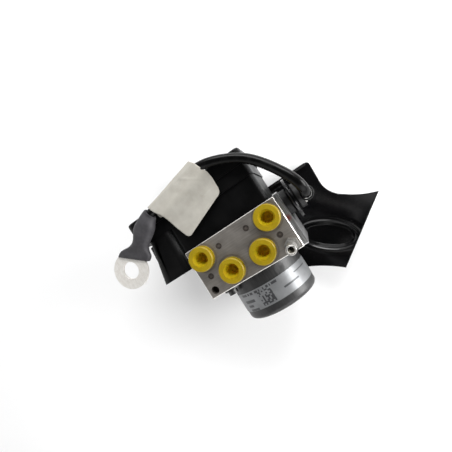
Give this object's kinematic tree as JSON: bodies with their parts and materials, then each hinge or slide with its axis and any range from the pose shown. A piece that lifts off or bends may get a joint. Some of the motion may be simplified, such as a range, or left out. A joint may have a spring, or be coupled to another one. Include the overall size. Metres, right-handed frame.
{
  "type": "abs brake module",
  "caption": "Anti-lock brake hydraulic unit: machined valve block with pump motor, control housing, plugged ports, earth cable and curved sheet bracket.",
  "frame": {"origin": "centre of the valve block's port face", "axes": "+Z out of the port face, +X along the block towards the cable bolt, +Y towards the control housing"},
  "size_m": [0.1992, 0.1301, 0.0928],
  "materials": {
    "block_aluminium": "milled",
    "plug_yellow": "moulded",
    "zinc_steel": "zinc plated",
    "bearing_steel": "ground",
    "spring_steel": "drawn wire",
    "motor_steel": "drawn and plated",
    "label_film": "smooth",
    "magnet": "sintered",
    "carbon": "pressed",
    "core_steel": "laminated",
    "copper": "turned",
    "inner_plastic": "moulded",
    "ecu_plastic": "moulded",
    "board_laminate": "lacquered",
    "black_rubber": "moulded",
    "cable_rubber": "extruded",
    "sleeve_plastic": "shrunk",
    "tinned_copper": "tinned",
    "label_cloth": "coated cloth",
    "black_sheet": "glossy"
  },
  "bodies": {
    "unit": {"hydraulic_block": "block_aluminium", "port_plug_1": "plug_yellow", "port_plug_2": "plug_yellow", "port_plug_3": "plug_yellow", "port_plug_4": "plug_yellow", "sealing_plugs": "bearing_steel", "return_fitting": "zinc_steel", "motor_can": "motor_steel", "motor_label": "label_film", "motor_screws": "zinc_steel", "motor_magnet_1": "magnet", "motor_magnet_2": "magnet", "brush_plate": "inner_plastic", "carbon_brush_1": "carbon", "carbon_brush_2": "carbon", "front_bearing": "bearing_steel", "pump_spring_1": "spring_steel", "pump_spring_2": "spring_steel", "pump_cap_1": "bearing_steel", "pump_cap_2": "bearing_steel", "accumulator_spring_1": "spring_steel", "accumulator_spring_2": "spring_steel", "accumulator_cap_1": "bearing_steel", "accumulator_cap_2": "bearing_steel", "solenoid_valve_1": "bearing_steel", "solenoid_valve_2": "bearing_steel", "solenoid_valve_3": "bearing_steel", "solenoid_valve_4": "bearing_steel", "solenoid_coil_1": "inner_plastic", "solenoid_coil_2": "inner_plastic", "solenoid_coil_3": "inner_plastic", "solenoid_coil_4": "inner_plastic", "ecu_housing": "ecu_plastic", "ecu_seal": "black_rubber", "ecu_lid": "ecu_plastic", "circuit_board": "board_laminate", "connector_pins": "tinned_copper", "ecu_screws": "zinc_steel", "side_plate": "zinc_steel", "isolator_bush": "black_rubber", "isolator_bolt": "zinc_steel", "bolt_terminal": "tinned_copper", "cable_boot": "black_rubber", "earth_cable": "cable_rubber", "ring_terminal": "tinned_copper", "heat_shrink": "sleeve_plastic", "cable_label": "label_cloth", "saddle_bracket": "black_sheet", "bracket_ear": "black_sheet", "lower_grommet": "black_rubber", "mounting_peg": "zinc_steel"},
    "rotor": {"rotor_shaft": "bearing_steel", "eccentric_ring": "bearing_steel", "armature_core": "core_steel", "commutator": "copper"},
    "left pump piston": {"pump_piston_1": "bearing_steel"},
    "right pump piston": {"pump_piston_2": "bearing_steel"},
    "left accumulator piston": {"accumulator_piston_1": "block_aluminium"},
    "right accumulator piston": {"accumulator_piston_2": "block_aluminium"}
  },
  "joints": [
    {"name": "rotor_spin", "type": "hinge", "parent": "unit", "child": "rotor", "pos_m": [0, -0.0195, -0.0304], "axis": [0, 1, 0], "continuous": true},
    {"name": "left_pump_stroke", "type": "slide", "parent": "unit", "child": "left pump piston", "axis": [1, 0, 0], "range_m": [0, 0.0018], "stiffness_N_per_m": 500},
    {"name": "right_pump_stroke", "type": "slide", "parent": "unit", "child": "right pump piston", "axis": [-1, 0, 0], "range_m": [0, 0.0018], "stiffness_N_per_m": 500},
    {"name": "left_accumulator_travel", "type": "slide", "parent": "unit", "child": "left accumulator piston", "axis": [0, 0, -1], "range_m": [0, 0.005], "stiffness_N_per_m": 300, "springref_m": -0.004, "deforming": ["accumulator_spring_1"]},
    {"name": "right_accumulator_travel", "type": "slide", "parent": "unit", "child": "right accumulator piston", "axis": [0, 0, -1], "range_m": [0, 0.005], "stiffness_N_per_m": 300, "springref_m": -0.004, "deforming": ["accumulator_spring_2"]}
  ]
}
